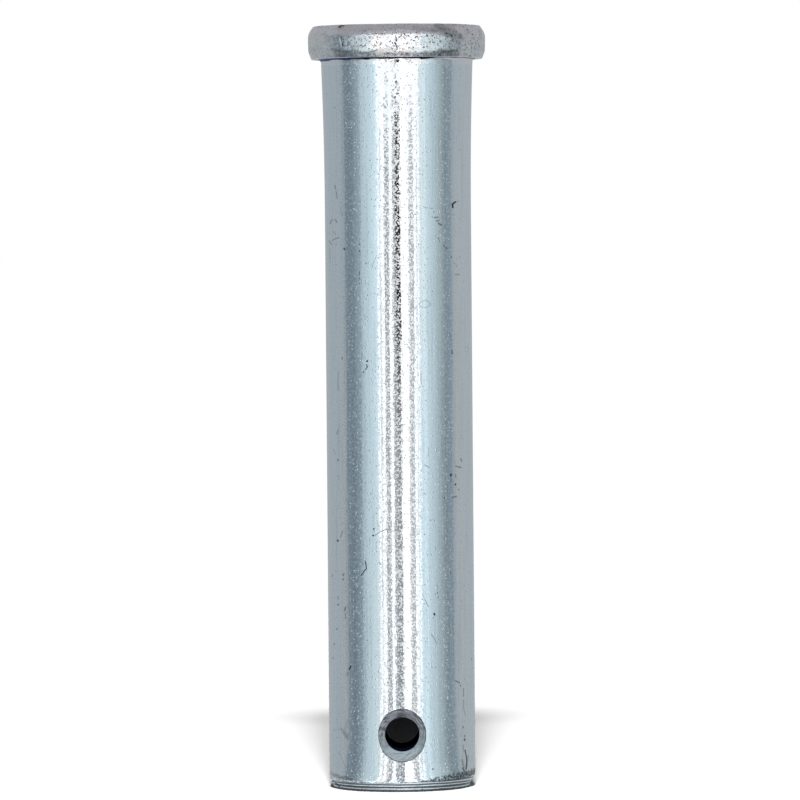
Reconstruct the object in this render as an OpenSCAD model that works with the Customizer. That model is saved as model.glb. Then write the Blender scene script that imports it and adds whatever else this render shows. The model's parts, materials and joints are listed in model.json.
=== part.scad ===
// Steel pin for a lift fork: a forged head on a parallel shank, a cross hole for a split pin and a
// turned bevel at the tip. It is one piece of metal. It stands on its tip face at the origin with the
// head up, and the cross hole runs along Y. All sizes are in millimetres.

/* [Shank] */
// Diameter of the parallel shank
shank_d = 22.2; // [18:0.1:32]
// Length from the tip face to the underside of the head
shank_l = 110.6; // [60:0.1:200]

/* [Swell under the head] */
// Length of the stretch that the forging die leaves thicker
swell_l = 22; // [10:0.5:40]
// How far the swell stands out from the shank where it meets the head
swell_out = 0.42; // [0.1:0.02:1]
// Radius of the fillet between the swell and the head
neck_r = 0.5; // [0.2:0.05:1]

/* [Head] */
// How far the side of the head stands out from the shank, all round
head_ledge = 2.4; // [2:0.1:6]
// Thickness of the head
head_t = 5.05; // [4:0.05:9]
// Radius of the round at the top edge of the head
top_edge_r = 2.2; // [0.5:0.1:2.6]
// Angle through which that round turns before it meets the top face
top_edge_turn = 52; // [30:1:80]
// Radius of the round at the bottom edge of the head
low_edge_r = 1.9; // [0.5:0.1:2.4]
// Angle through which that round turns before it meets the underside
low_edge_turn = 45; // [30:1:55]

/* [Split pin hole] */
// Diameter of the cross hole
hole_d = 5.2; // [3:0.1:7]
// Height of the centre of the hole above the tip face
hole_up = 8.6; // [7.5:0.1:30]
// Diameter of the countersunk mouth, where it breaks the crown of the shank
mouth_d = 8.06; // [7.2:0.02:11]
// Angle of the countersink, side to side
mouth_angle = 65; // [50:1:100]

/* [Tip] */
// How far the turned bevel goes into the shank, all round
bevel_in = 0.85; // [0.4:0.05:2]
// Angle between the bevel and the axis
bevel_angle = 26; // [20:1:45]
// Radius of the blend between the bevel and the shank
bevel_blend_r = 2; // [0.5:0.1:4]
// Radius of the broken edge round the tip face
tip_edge_r = 0.2; // [0.1:0.02:0.4]
// Height of the turned ring groove in the bevel
ring_up = 0.75; // [0.5:0.05:1.2]
// Width of the ring groove
ring_w = 0.3; // [0.1:0.02:0.5]
// Depth of the ring groove
ring_deep = 0.07; // [0.03:0.01:0.15]

/* [Hidden] */

// Shortest facet of a preview, and the fewest sides of a circle
facet = 0.4;
sides = 96;

// Metal left beyond a round before the round is cut, and how far the hole's cutter runs past the shank
spare = 0.5;

// Short cone between an edge round of the head and the face that it leads to
edge_land = 0.05;

shank_r = shank_d / 2;
head_r = shank_r + head_ledge;
overall_l = shank_l + head_t;
swell_r = shank_r + swell_out;

// The swell is an arc, tangent to the shank and to a short cone that leads into the neck. Its two
// end tangents meet swell_meet above its foot.
swell_z = shank_l - swell_l;
swell_meet = swell_l / 2 - neck_r;
swell_lean = atan(swell_out / (swell_l - swell_meet));
swell_arc_r = swell_meet / tan(swell_lean / 2);

bevel_l = bevel_in / tan(bevel_angle);
mouth_deep = (mouth_d - hole_d) / 2 / tan(mouth_angle / 2);
cutter_r = mouth_d / 2 + spare * tan(mouth_angle / 2);

// A groove whose section is an arc of the width and depth given
ring_r = (ring_w * ring_w / 4 + ring_deep * ring_deep) / (2 * ring_deep);

// Length, from the side of the head to a face, of the tangent at the end of an edge round
function edge_l(r, turn) = r * tan(turn / 2) + edge_land;
low_l = edge_l(low_edge_r, low_edge_turn);
top_l = edge_l(top_edge_r, top_edge_turn);

// Half of the outline of the pin, counter-clockwise from the centre of the tip face. Each corner is
// radius, height and the radius of its round.
OUTLINE = [
    [0, 0, 0],
    [shank_r - bevel_in, 0, tip_edge_r],
    [shank_r, bevel_l, bevel_blend_r],
    [shank_r, swell_z + swell_meet, swell_arc_r],
    [swell_r, shank_l, neck_r],
    [head_r - low_l * sin(low_edge_turn), shank_l, 0],
    [head_r, shank_l + low_l * cos(low_edge_turn), low_edge_r],
    [head_r, overall_l - top_l * cos(top_edge_turn), top_edge_r],
    [head_r - top_l * sin(top_edge_turn), overall_l, 0],
    [0, overall_l, 0]
];

function unit(v) = v / norm(v);
function flat(p) = [p[0], p[1]];
function half_angle(a, p, b) = acos(unit(a - p) * unit(b - p)) / 2;

// The arc that rounds the corner p, with a before it and b after it: its centre, its two ends, the
// direction from the centre to the corner, and whether it takes metal away
function arc(a, p, b, r) =
    let (
        half = half_angle(a, p, b),
        out = -unit(unit(a - p) + unit(b - p)),
        reach = r / tan(half)
    )
    [p - out * r / sin(half), p + unit(a - p) * reach, p + unit(b - p) * reach, out, cross(p - a, b - p) > 0];

// Every corner of an outline as [arc, corner, radius]
function corners(pts) = [for (i = [0 : len(pts) - 1])
    let (
        a = flat(pts[(i + len(pts) - 1) % len(pts)]),
        p = flat(pts[i]),
        b = flat(pts[(i + 1) % len(pts)])
    )
    [arc(a, p, b, pts[i][2]), p, pts[i][2]]];

// A point clear of the arc, on the side that a cutter then clears
function clear_of(arc, p) = arc[4] ? p + spare * arc[3] : (arc[1] + arc[2]) / 2 - spare * arc[3];

module round_face(c, r) {
    translate(c)
        circle(r = r, $fn = max(sides, 2 * PI * r / facet));
}

// What a round leaves bare at an outer corner
module outer_waste(arc, p, r) {
    difference() {
        polygon([arc[1], clear_of(arc, p), arc[2]]);
        round_face(arc[0], r);
    }
}

// What a round clears at an inner corner
module inner_waste(arc, p, r) {
    intersection() {
        polygon([arc[1], p + spare * arc[3], arc[2], clear_of(arc, p)]);
        round_face(arc[0], r);
    }
}

// The face inside an outline whose corners are rounded by true arcs: a plain face with spare metal
// at each round, less that metal
module rounded(pts) {
    difference() {
        polygon([for (c = corners(pts))
            each (c[2] > 0 ? [c[0][1], clear_of(c[0], c[1]), c[0][2]] : [c[1]])]);
        for (c = corners(pts)) {
            if (c[2] > 0 && c[0][4])
                outer_waste(c[0], c[1], c[2]);
            if (c[2] > 0 && !c[0][4])
                inner_waste(c[0], c[1], c[2]);
        }
    }
}

module blank() {
    rotate_extrude($fn = sides)
        rounded(OUTLINE);
}

// The hole and both its countersinks as one turned cutter
module cross_hole() {
    bore_end = shank_r - mouth_deep;
    cutter_end = shank_r + spare;
    translate([0, 0, hole_up])
        rotate([90, 0, 0])
            rotate_extrude($fn = sides)
                polygon([
                    [0, -cutter_end],
                    [cutter_r, -cutter_end],
                    [hole_d / 2, -bore_end],
                    [hole_d / 2, bore_end],
                    [cutter_r, cutter_end],
                    [0, cutter_end]
                ]);
}

module ring_groove() {
    surface_r = shank_r - bevel_in + ring_up * tan(bevel_angle);
    rotate_extrude($fn = sides)
        round_face([surface_r + ring_r - ring_deep, ring_up], ring_r);
}

module fork_pin() {
    color("lightsteelblue")
        difference() {
            blank();
            cross_hole();
            ring_groove();
        }
}

fork_pin();
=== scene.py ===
import json
import random
from math import asin, atan, atan2, ceil, cos, degrees, pi, radians, sin, sqrt, tan

import bmesh
import bpy
from mathutils import Matrix, Vector, noise


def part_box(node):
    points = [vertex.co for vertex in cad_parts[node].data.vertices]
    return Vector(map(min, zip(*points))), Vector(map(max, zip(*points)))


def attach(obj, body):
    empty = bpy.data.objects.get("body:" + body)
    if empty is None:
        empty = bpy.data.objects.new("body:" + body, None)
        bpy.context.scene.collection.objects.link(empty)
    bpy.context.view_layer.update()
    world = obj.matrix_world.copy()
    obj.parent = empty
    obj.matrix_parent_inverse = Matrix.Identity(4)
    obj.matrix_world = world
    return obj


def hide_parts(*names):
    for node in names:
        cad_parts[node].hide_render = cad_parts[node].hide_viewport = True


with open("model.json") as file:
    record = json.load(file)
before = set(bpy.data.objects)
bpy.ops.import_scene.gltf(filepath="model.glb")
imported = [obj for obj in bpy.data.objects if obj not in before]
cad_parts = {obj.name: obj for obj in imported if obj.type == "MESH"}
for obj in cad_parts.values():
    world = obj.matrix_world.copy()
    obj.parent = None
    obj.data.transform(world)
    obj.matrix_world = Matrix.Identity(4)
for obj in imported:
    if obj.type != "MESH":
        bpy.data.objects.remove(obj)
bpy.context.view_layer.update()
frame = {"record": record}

MM = 0.001
PIN = "fork_pin"

# The camera, from the photograph: how far it stands from the pin's axis, how high above the floor,
# and where on the pin it looks
CAMERA_DISTANCE = 990 * MM
CAMERA_HEIGHT = 81 * MM
AIM_X = 0.08 * MM
AIM_Z = 58.85 * MM
CAMERA_ROLL = radians(-0.47)
# Photograph pixels that one metre spans at the axis, and the photograph's width in pixels
PIXELS_PER_METRE = 6580
PHOTO_WIDTH = 800

# The key lamp lights the floor from above the camera, and the world adds a little light
KEY_ELEVATION = radians(37)
KEY_ANGLE = radians(6)
KEY_STRENGTH = 5.375
AMBIENT = 0.005
FLOOR_ALBEDO = 0.97
FLOOR_HALF = 200

# The light tent: cards round the pin, each with a strip on the floor and one on the wall, a roof, and
# a grey foot close to the pin, whose dark inner edge is a painted contact shadow. Only reflections see
# them.
TENT_RADIUS = 200 * MM
TENT_MOUTH = 15 * MM
TENT_FLOOR = 0.05 * MM
TENT_TOP = 500 * MM
ROOF_GREY = (0.46, 0.47, 0.51)
# The foot: its inner radius, its colours at its inner edge, a painted contact shadow, and at its outer
# edge, how much brighter it is right in front, and the share of a turn, to either side, over which that
# fades
FOOT_MOUTH = 9.5 * MM
FOOT_SHADOW = (0.30, 0.34, 0.36)
FOOT_LIGHT = (1.3, 1.4, 1.45)
FOOT_FRONT = 1.2
FOOT_FADE = 0.14
# The top of the wall in front, and at SIDE_AZIMUTH degrees and beyond
CARD_TOP = 152 * MM
SIDE_TOP = 150 * MM
SIDE_AZIMUTH = 62
# Heights on the wall. Below LOW_PART a card keeps a share of its brightness, from HIGH_PART it has all of
# it, and a little above NECK_PART every white and cool card is NECK_BRIGHT.
LOW_PART = 45 * MM
HIGH_PART = 70 * MM
NECK_PART = 97 * MM
NECK_STEP = 2 * MM
NECK_BRIGHT = 1.5
# Degrees between the points of a card
CARD_STEP = 2
WHITE = (1.0, 1.0, 0.99)
COOL = (0.97, 1.0, 1.05)
BLUE = (0.84, 1.0, 1.06)
SLATE = (0.77, 1.0, 1.18)
GREY = (0.92, 1.0, 1.05)

# Each card: azimuth where it starts and ends, in degrees from the camera, its brightness at both, the
# share of it that it has low down, and its hue. The one in the middle is black with a grey low part.
CARDS = [
    (-180, -96, 0.47, 0.47, 1.0, GREY),
    (-96, -90, 0.47, 0.38, 1.0, GREY),
    (-90, -78, 0.28, 0.25, 1.0, SLATE),
    (-78, -60, 0.24, 0.44, 0.85, SLATE),
    (-60, -54, 0.56, 0.72, 0.95, BLUE),
    (-54, -42, 0.72, 0.83, 0.97, BLUE),
    (-42, -32, 0.83, 1.0, 0.92, BLUE),
    (-32, -28.6, 1.5, 1.5, 1.0, WHITE),
    (-28.6, -26, 0.72, 0.72, 0.9, COOL),
    (-26, -21.5, 1.8, 1.8, 1.0, WHITE),
    (-21.5, -13.4, 0.50, 0.46, 1.0, COOL),
    (-13.4, -9.2, 2.0, 2.0, 1.0, WHITE),
    (-9.2, -4, 0.50, 0.45, 1.0, COOL),
    (-4, 3.6, 0.015, 0.015, 24.0, COOL),
    (3.6, 14.8, 1.8, 1.8, 1.0, WHITE),
    (14.8, 23.6, 0.60, 0.56, 1.0, COOL),
    (23.6, 27.4, 1.7, 1.7, 1.0, WHITE),
    (27.4, 29.4, 0.72, 0.72, 1.0, COOL),
    (29.4, 32, 1.5, 1.5, 1.0, WHITE),
    (32, 37.5, 0.95, 0.88, 0.95, BLUE),
    (37.5, 43, 1.05, 0.98, 1.0, BLUE),
    (43, 56, 0.85, 0.70, 0.95, BLUE),
    (56, 78, 0.70, 0.29, 0.9, BLUE),
    (78, 90, 0.32, 0.33, 0.97, SLATE),
    (90, 97, 0.42, 0.48, 1.0, GREY),
    (97, 180, 0.50, 0.48, 1.0, GREY),
]

# The pin's sizes: those of its mounts and its box come from the frame, the rest repeat the CAD
# model's driving dimensions
mounts = {mount["name"]: mount for mount in frame["record"]["mounts"]}
SHANK_R = mounts["shank"]["dims"]["r_mm"] * MM
SHANK_L = mounts["head_seat"]["pos_m"][2]
HOLE_R = mounts["split_pin_hole"]["dims"]["r_mm"] * MM
HOLE_UP = mounts["split_pin_hole"]["pos_m"][2]
HEAD_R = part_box(PIN)[1][0]
OVERALL_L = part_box(PIN)[1][2]
SWELL_L = 22 * MM
SWELL_OUT = 0.42 * MM
NECK_R = 0.5 * MM
TOP_EDGE_R = 2.2 * MM
TOP_EDGE_TURN = radians(52)
LOW_EDGE_R = 1.9 * MM
LOW_EDGE_TURN = radians(45)
EDGE_LAND = 0.05 * MM
MOUTH_R = 4.03 * MM
MOUTH_SLOPE = tan(radians(65 / 2))
BEVEL_IN = 0.85 * MM
BEVEL_SLOPE = tan(radians(26))
BEVEL_BLEND_R = 2 * MM
TIP_EDGE_R = 0.2 * MM
RING_UP = 0.75 * MM
RING_W = 0.3 * MM
RING_DEEP = 0.07 * MM
# Only the skin has this small round, where the top face begins
TOP_RIM_R = 0.14 * MM

# The mesh: columns round the pin, and the distance between rows on small rounds, near the hole, on
# the flats and along the shank
COLUMNS = 384
COLUMN = 2 * pi / COLUMNS
FINE = 0.11 * MM
NEAR_HOLE = 0.3 * MM
FLAT = 0.6 * MM
LONG = 2.5 * MM
# Half the size of the square that is left open round each mouth of the hole, the rings in it, and how
# much they crowd towards the grid
PATCH = 5 * MM
PATCH_RINGS = 9
PATCH_CROWD = 0.7
CONE_RINGS = 8
BORE_RINGS = 12
# How far from the mouth's rim the first ring lies, as a share of the way, which keeps the edge crisp
RIM_SHARE = 0.04
# The burr of the mouth's rim: how high its waves and its nicks are, and how many go round it
BURR_WAVE = 0.09 * MM
BURR_WAVES = 2.2
BURR_NICK = 0.06 * MM
BURR_NICKS = 9

# The cut that made the tip's bevel was tilted: how far its edge lies above the CAD model's at the
# axis, how much it rises for each metre to the right and to the back, and how ragged it is
BEVEL_RISE = 0.15 * MM
BEVEL_TILT_X = 0.027
BEVEL_TILT_Y = 0.04
BEVEL_RAGGED = 0.05 * MM
BEVEL_WAVES = 7
# Below this height the tilt counts
BEVEL_TOP = 4 * MM
# Distance between the rings that the lathe tool left on the bevel
RING_PITCH = 0.45 * MM

# Unevenness of the forged head: size and height of its broad waves and of its lumps, and how far its side
# falls back at the top and bottom
WAVE_SIZE = 4.5 * MM
WAVE_HIGH = 0.035 * MM
LUMP_SIZE = 1.3 * MM
LUMP_HIGH = 0.025 * MM
BARREL = 0.14 * MM
# The plate's fine facets: their size and how far they tilt at most, on the shank and on the head
FACET_SIZE = 0.32 * MM
FACET_TILT = radians(0.6)
HEAD_FACET_SIZE = 0.42 * MM
HEAD_FACET_TILT = radians(2.5)
# The plate's bumps and pits: the distance between them, and how high a bump of height 1 stands
BUMP_SIZE = 0.52 * MM
RELIEF = 0.022 * MM
# The drawn lines: their width, and how short the noise is along the pin, which draws it out
LINE_SIZE = 0.3 * MM
LINE_STRETCH = 0.02
# The plate's frosted specks: their size, and the roughness of the clear plate, of them and of dull metal
FROST_SIZE = 0.29 * MM
CLEAR_ROUGH = 0.06
FROST_ROUGH = 0.3
DULL_ROUGH = 0.45
# On the head, half the length of the bright stretch between the painted shade bands, which bow towards it
BRIGHT_HALF = 7.5 * MM
BOW = MM

# Linear colours of the metal. The plate varies between the first two.
PLATE_BLUE = (0.74, 0.80, 0.84, 1)
PLATE_PALE = (0.79, 0.81, 0.82, 1)
LINE_GREY = (0.2, 0.24, 0.28, 1)
PIT_GREY = (0.12, 0.14, 0.15, 1)
MARK_GREY = (0.03, 0.04, 0.045, 1)
HEAD_CAST = (1.11, 1.04, 1.01)
# The next two colours are painted shade on the head's rounded top edge and on its lower edge
HEAD_HIGH_SHADE = (0.54, 0.53, 0.53, 1)
HEAD_LOW_SHADE = (0.18, 0.18, 0.18, 1)
SMEAR_BROWN = (0.45, 0.42, 0.40, 1)
SPECK_GREY = (0.08, 0.09, 0.11, 1)
# The next colour is also painted shade, on the bevel's border and in its ring grooves
TIP_GREY = (0.04, 0.05, 0.055, 1)
# The painted shade in the corner under the head, at the left and from the middle to the right
NECK_SHADE_BLUE = (0.05, 0.09, 0.25, 1)
NECK_SHADE_NAVY = (0.005, 0.008, 0.05, 1)
# The countersink's streaks, light and dark, each below and above the hole, and its rim. The difference
# between the halves is painted reflection.
MOUTH_LIGHT = ((0.38, 0.45, 0.49, 1), (0.53, 0.56, 0.62, 1))
MOUTH_DARK = ((0.24, 0.29, 0.32, 1), (0.15, 0.16, 0.18, 1))
RIM_GREY = (0.03, 0.035, 0.04, 1)
# The bore's wall: painted shade inside the hole
BORE_BLACK = (0.002, 0.003, 0.009, 1)
BORE_NAVY = (0.004, 0.005, 0.013, 1)

# Dents of the head and the tip: two ends in the photograph's pixels, width and depth in millimetres
DENTS = [
    (338.5, 26.6, 343.5, 25, 0.5, 0.12),
    (340.6, 38, 342.3, 46.3, 0.5, 0.1),
    (436.5, 25, 439.6, 24.8, 0.45, 0.12),
    (438.5, 26.5, 446, 30.3, 0.6, 0.09),
    (446, 30.3, 454.5, 37.5, 0.5, 0.09),
    (446, 33.8, 446.4, 34, 0.5, 0.09),
    (458.8, 37.6, 459, 37.8, 0.45, 0.07),
    (472.5, 34.1, 472.7, 34.3, 0.45, 0.07),
    (466.7, 30, 467, 30.2, 0.45, 0.07),
    (427.5, 35.4, 427.7, 35.6, 0.4, 0.06),
    (352, 52.4, 356, 50.4, 0.35, 0.05),
    (356, 50.4, 359, 52.4, 0.35, 0.05),
    (394, 37, 395.5, 46.5, 0.5, 0.05),
    (333.3, 781.2, 338.7, 786.6, 0.45, 0.1),
]

# Marks of handling on the front, each a straight stroke: its two ends in the photograph's pixels, its
# width in millimetres and how dark it is. A pit is a stroke with both ends together.
MARKS = [
    (334.8, 185.4, 335.4, 188.9, 0.16, 0.6), (336.3, 191.7, 337.3, 199, 0.14, 0.5),
    (339.8, 205.7, 342.9, 215.8, 0.12, 0.25), (330.1, 223.6, 331.3, 220.1, 0.16, 0.6),
    (331.3, 220.1, 335.6, 219.7, 0.12, 0.35), (335.6, 219.7, 336.7, 222.4, 0.14, 0.6),
    (333.2, 231, 335.6, 234.8, 0.12, 0.4), (332.4, 240.3, 338.7, 237.6, 0.16, 0.5),
    (329.3, 240.7, 331.5, 244.6, 0.14, 0.5), (330.2, 247, 330.2, 262, 0.12, 0.2),
    (344.3, 248.6, 344.9, 249.6, 0.24, 0.8), (359, 244.4, 359.2, 244.8, 0.2, 0.6),
    (359, 250.8, 359.2, 251.2, 0.22, 0.8), (359.1, 271.8, 358.8, 274.8, 0.18, 0.6),
    (359, 278.1, 359.1, 278.5, 0.2, 0.7), (358.8, 283.4, 358.9, 283.8, 0.2, 0.6),
    (365.6, 263.2, 365.8, 263.6, 0.2, 0.5), (376.3, 255.5, 370.7, 269.3, 0.1, 0.35),
    (455.3, 201.9, 452.4, 204.4, 0.24, 1), (452.4, 204.4, 452.7, 207.6, 0.24, 1),
    (455.5, 201.7, 458.6, 201.2, 0.12, 0.35), (425.1, 207.7, 428, 207.7, 0.14, 0.4),
    (430.2, 208.3, 432.9, 208.6, 0.14, 0.4), (434, 211.9, 434.5, 212, 0.2, 0.5),
    (434.6, 217.7, 438.2, 217.2, 0.18, 0.6), (436.4, 221.2, 438.6, 220.6, 0.18, 0.6),
    (438.6, 223.4, 441.8, 225.2, 0.2, 0.7), (452.2, 215, 454.6, 214.6, 0.12, 0.3),
    (438.6, 237.5, 439.8, 241.5, 0.14, 0.5), (443.8, 245.3, 444.4, 246.2, 0.24, 0.5),
    (446, 247.6, 446.8, 248.6, 0.24, 0.7), (451, 257, 451.3, 257.6, 0.18, 0.7),
    (453.8, 262.6, 454.8, 264, 0.13, 0.4), (456, 265.4, 456.8, 266.6, 0.13, 0.4),
    (455.5, 274.8, 459, 274.4, 0.3, 0.3), (449.5, 333, 451.5, 340, 0.2, 0.3),
    (451.8, 350.5, 452, 353.5, 0.24, 0.6), (342, 358, 342.1, 358.8, 0.2, 0.5),
    (338, 372, 338, 391, 0.12, 0.35), (421, 374, 421.3, 384, 0.14, 0.5),
    (366.8, 361.4, 367.1, 360.9, 0.26, 1), (366.1, 364.6, 367.2, 366.6, 0.2, 0.8),
    (367.2, 366.6, 365.7, 369.5, 0.2, 0.6), (363.4, 372, 363.6, 372.2, 0.22, 0.7),
    (450.9, 474.2, 450.8, 475.8, 0.26, 1), (450.7, 479.2, 450.8, 482.2, 0.18, 0.7),
    (455.2, 484, 455.4, 484.7, 0.24, 0.9), (455.5, 466, 461.1, 467.7, 0.16, 0.6),
    (460.5, 458.7, 461.8, 461.3, 0.16, 0.6), (444.6, 497.8, 444.9, 498, 0.24, 0.9),
    (452.1, 497.5, 456.1, 496.7, 0.2, 0.6), (373.7, 528.6, 373.9, 528.9, 0.24, 1),
    (372.9, 535.5, 373.2, 535.8, 0.24, 1), (374.7, 535.4, 381, 531.4, 0.11, 0.7),
    (381, 531.4, 387.2, 528.9, 0.11, 0.7), (365.2, 561, 366.2, 568.4, 0.17, 0.9),
    (366.2, 568.4, 360.8, 575.4, 0.17, 0.9), (350.9, 666.2, 349.6, 669.2, 0.26, 0.9),
    (348, 672.5, 347.4, 675.5, 0.3, 0.3), (338.3, 430, 336.8, 434.5, 0.14, 0.5),
    (333.5, 449, 335, 454.5, 0.12, 0.3), (338, 459.7, 338.1, 460.3, 0.2, 0.7),
    (369, 450.2, 369.1, 450.8, 0.18, 0.5), (370.5, 493.7, 370.6, 494.3, 0.18, 0.5),
    (380, 518, 382.5, 516.5, 0.13, 0.35), (377, 523, 379.5, 527, 0.13, 0.35),
    (342.8, 531, 340.5, 537.5, 0.13, 0.45), (337.8, 540.2, 337.9, 541, 0.26, 0.9),
    (379.2, 562.5, 380.6, 564.5, 0.16, 0.6), (333, 574.6, 331.8, 577, 0.14, 0.4),
    (343.9, 573.5, 343.3, 575.5, 0.16, 0.6), (343.3, 578.8, 343.3, 579.6, 0.2, 0.6),
    (338, 596.3, 338, 599.5, 0.13, 0.5), (338, 604.2, 338.1, 605, 0.2, 0.7),
    (345.8, 607.3, 344.5, 611, 0.16, 0.6), (345.3, 613.5, 345.6, 618.5, 0.13, 0.4),
    (337, 628.5, 337.1, 629.4, 0.2, 0.6), (334.3, 643.6, 334.4, 644.6, 0.2, 0.5),
    (333, 657.6, 333, 658.4, 0.18, 0.5), (429, 449, 428.4, 456, 0.12, 0.35),
    (425, 465, 429.5, 467.5, 0.15, 0.5), (446.6, 463, 447.2, 470, 0.12, 0.3),
    (455.2, 474.5, 455.6, 477.5, 0.16, 0.4), (458.5, 489.4, 458.6, 490, 0.2, 0.5),
    (434, 491.7, 434, 492.4, 0.18, 0.35), (431, 519.6, 431, 520.6, 0.18, 0.4),
    (435.3, 546, 435.8, 550.5, 0.13, 0.3), (450.3, 572.6, 451, 574.2, 0.2, 0.6),
    (437, 585, 438.2, 590, 0.16, 0.25), (437.5, 592.6, 437.7, 593.6, 0.2, 0.5),
    (438.5, 596.6, 438.6, 597.4, 0.18, 0.5), (422, 593.5, 425, 600, 0.1, 0.4),
    (425, 600, 429, 607, 0.1, 0.5), (434.4, 613.6, 434.8, 614.6, 0.26, 1),
    (433.4, 617.4, 433.6, 618, 0.18, 0.5), (449.5, 623, 449, 627.5, 0.16, 0.5),
    (450, 632, 450.1, 633, 0.22, 0.55), (431.5, 634, 437.5, 643.5, 0.12, 0.45),
    (449.5, 646, 448.5, 651, 0.13, 0.4), (432, 666.8, 432.1, 667.4, 0.18, 0.4),
    (435.5, 666.8, 435.6, 667.4, 0.18, 0.35), (471.5, 658.6, 471.6, 659.6, 0.16, 0.5),
    (455.3, 680.9, 459.6, 682.9, 0.16, 0.6), (460.5, 685, 460.5, 686.5, 0.16, 0.6),
    (463.6, 688.2, 463.5, 696.2, 0.14, 0.5), (463.6, 700.2, 463.3, 708.2, 0.14, 0.4),
    (463.3, 708.2, 465.4, 715.5, 0.12, 0.3), (463.1, 726.5, 463.1, 728, 0.16, 0.6),
    (464.6, 735.5, 464.6, 736.5, 0.18, 0.7), (464.6, 739, 464.6, 740.2, 0.24, 0.8),
    (463, 745, 464, 752, 0.14, 0.4), (468, 756, 467, 766, 0.3, 0.3),
    (462, 760, 464, 768, 0.3, 0.4), (333.3, 730.1, 341.3, 728.8, 0.24, 0.15),
    (341.3, 729, 344.4, 732.4, 0.4, 0.25), (344.4, 732.8, 347, 737, 0.6, 0.35),
    (347.4, 720.5, 344.9, 731, 0.5, 0.15), (339.1, 752.3, 345.8, 767.4, 0.12, 0.25),
    (433, 768.8, 433.3, 769.3, 0.22, 0.9), (465.1, 750, 466.8, 760, 0.16, 0.9),
    (466.8, 760, 466.1, 769.3, 0.2, 0.9), (462.8, 768, 465.4, 773.3, 0.26, 0.7),
    (333.3, 781.2, 339.1, 786.6, 0.24, 1), (331.5, 773, 334.5, 775.8, 0.4, 0.4),
    (336, 775, 339.5, 777.2, 0.5, 0.45), (342, 777.6, 345, 777, 0.44, 0.5),
    (347, 778.6, 352, 779.4, 0.4, 0.5), (355, 779.6, 362, 781, 0.36, 0.35),
    (437.5, 25, 446, 29.5, 1, 0.5), (443, 29, 452, 33, 1.3, 0.45),
    (447, 32, 452, 35.4, 0.4, 0.6), (450.5, 35, 460, 37, 0.8, 0.45),
    (422, 28.5, 436, 30.5, 0.6, 0.25), (479.5, 30, 481, 38, 0.4, 0.2),
    (445.6, 33.5, 446.6, 33.7, 0.32, 1), (450.5, 34.6, 451.6, 35.4, 0.24, 0.9),
    (427.2, 35.3, 427.4, 35.6, 0.22, 0.7), (341, 37.6, 341.6, 40, 0.26, 0.9),
    (341.4, 41, 342.2, 42.4, 0.2, 0.5), (342.2, 43.5, 342.8, 46.3, 0.26, 0.8),
    (395.8, 37.4, 396.2, 38.2, 0.24, 0.8), (396.2, 39.4, 396.5, 40.2, 0.26, 0.9),
    (391.9, 42, 392.5, 42.9, 0.22, 0.8), (395, 42.6, 395.7, 43.8, 0.24, 0.9),
    (393, 45.2, 394, 46.2, 0.22, 0.8), (396.4, 46.4, 396.9, 47.4, 0.22, 0.8),
    (338.5, 26.8, 343, 25.2, 0.24, 0.9), (370, 51.5, 376, 50.8, 0.24, 0.6),
    (470.2, 55.5, 470.6, 55.6, 0.22, 0.8), (472, 34, 472.6, 34.3, 0.22, 0.8),
    (427, 53.5, 440, 54.5, 0.26, 0.5), (436, 52.5, 454, 51, 0.26, 0.45),
]
# Above this pixel row a mark lies on the head
HEAD_ROW = 58
# Small rings, like dried drops: centre and half sizes in the photograph's pixels, and how dark they are
SPOTS = [
    (425.0, 304.0, 5.2, 3.5, 0.3),
    (371.0, 246.0, 1.7, 1.9, 0.25),
    (466.8, 349.5, 1.8, 2.6, 0.2),
]
# Strokes on the back, which the photograph doesn't show
BACK_MARKS = 28
BACK_LENGTHS = (0.08, 0.1, 0.2, 0.5, 1.1)
# How far the marks' outlines wander to each side, and over what distance
WOBBLE = 0.06 * MM
WOBBLE_SIZE = 0.4 * MM

# The finishes, in the order of the pin's materials. The marked shank has one for each zone of its
# height, because one material couldn't hold all the marks.
PLAIN, HEAD, TIP, MOUTH, BORE, MARKED = range(6)
ZONES = 4
ZONE = 28 * MM
# How far up the tip's finish goes
TIP_PART = 3.2 * MM


def new_material(name):
    """A new material and the wiring of its nodes."""
    material = bpy.data.materials.new(name)
    material.use_nodes = True
    return material, Wiring(material.node_tree)


def add_object(name, data):
    added = bpy.data.objects.new(name, data)
    bpy.context.scene.collection.objects.link(added)
    return added


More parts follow.
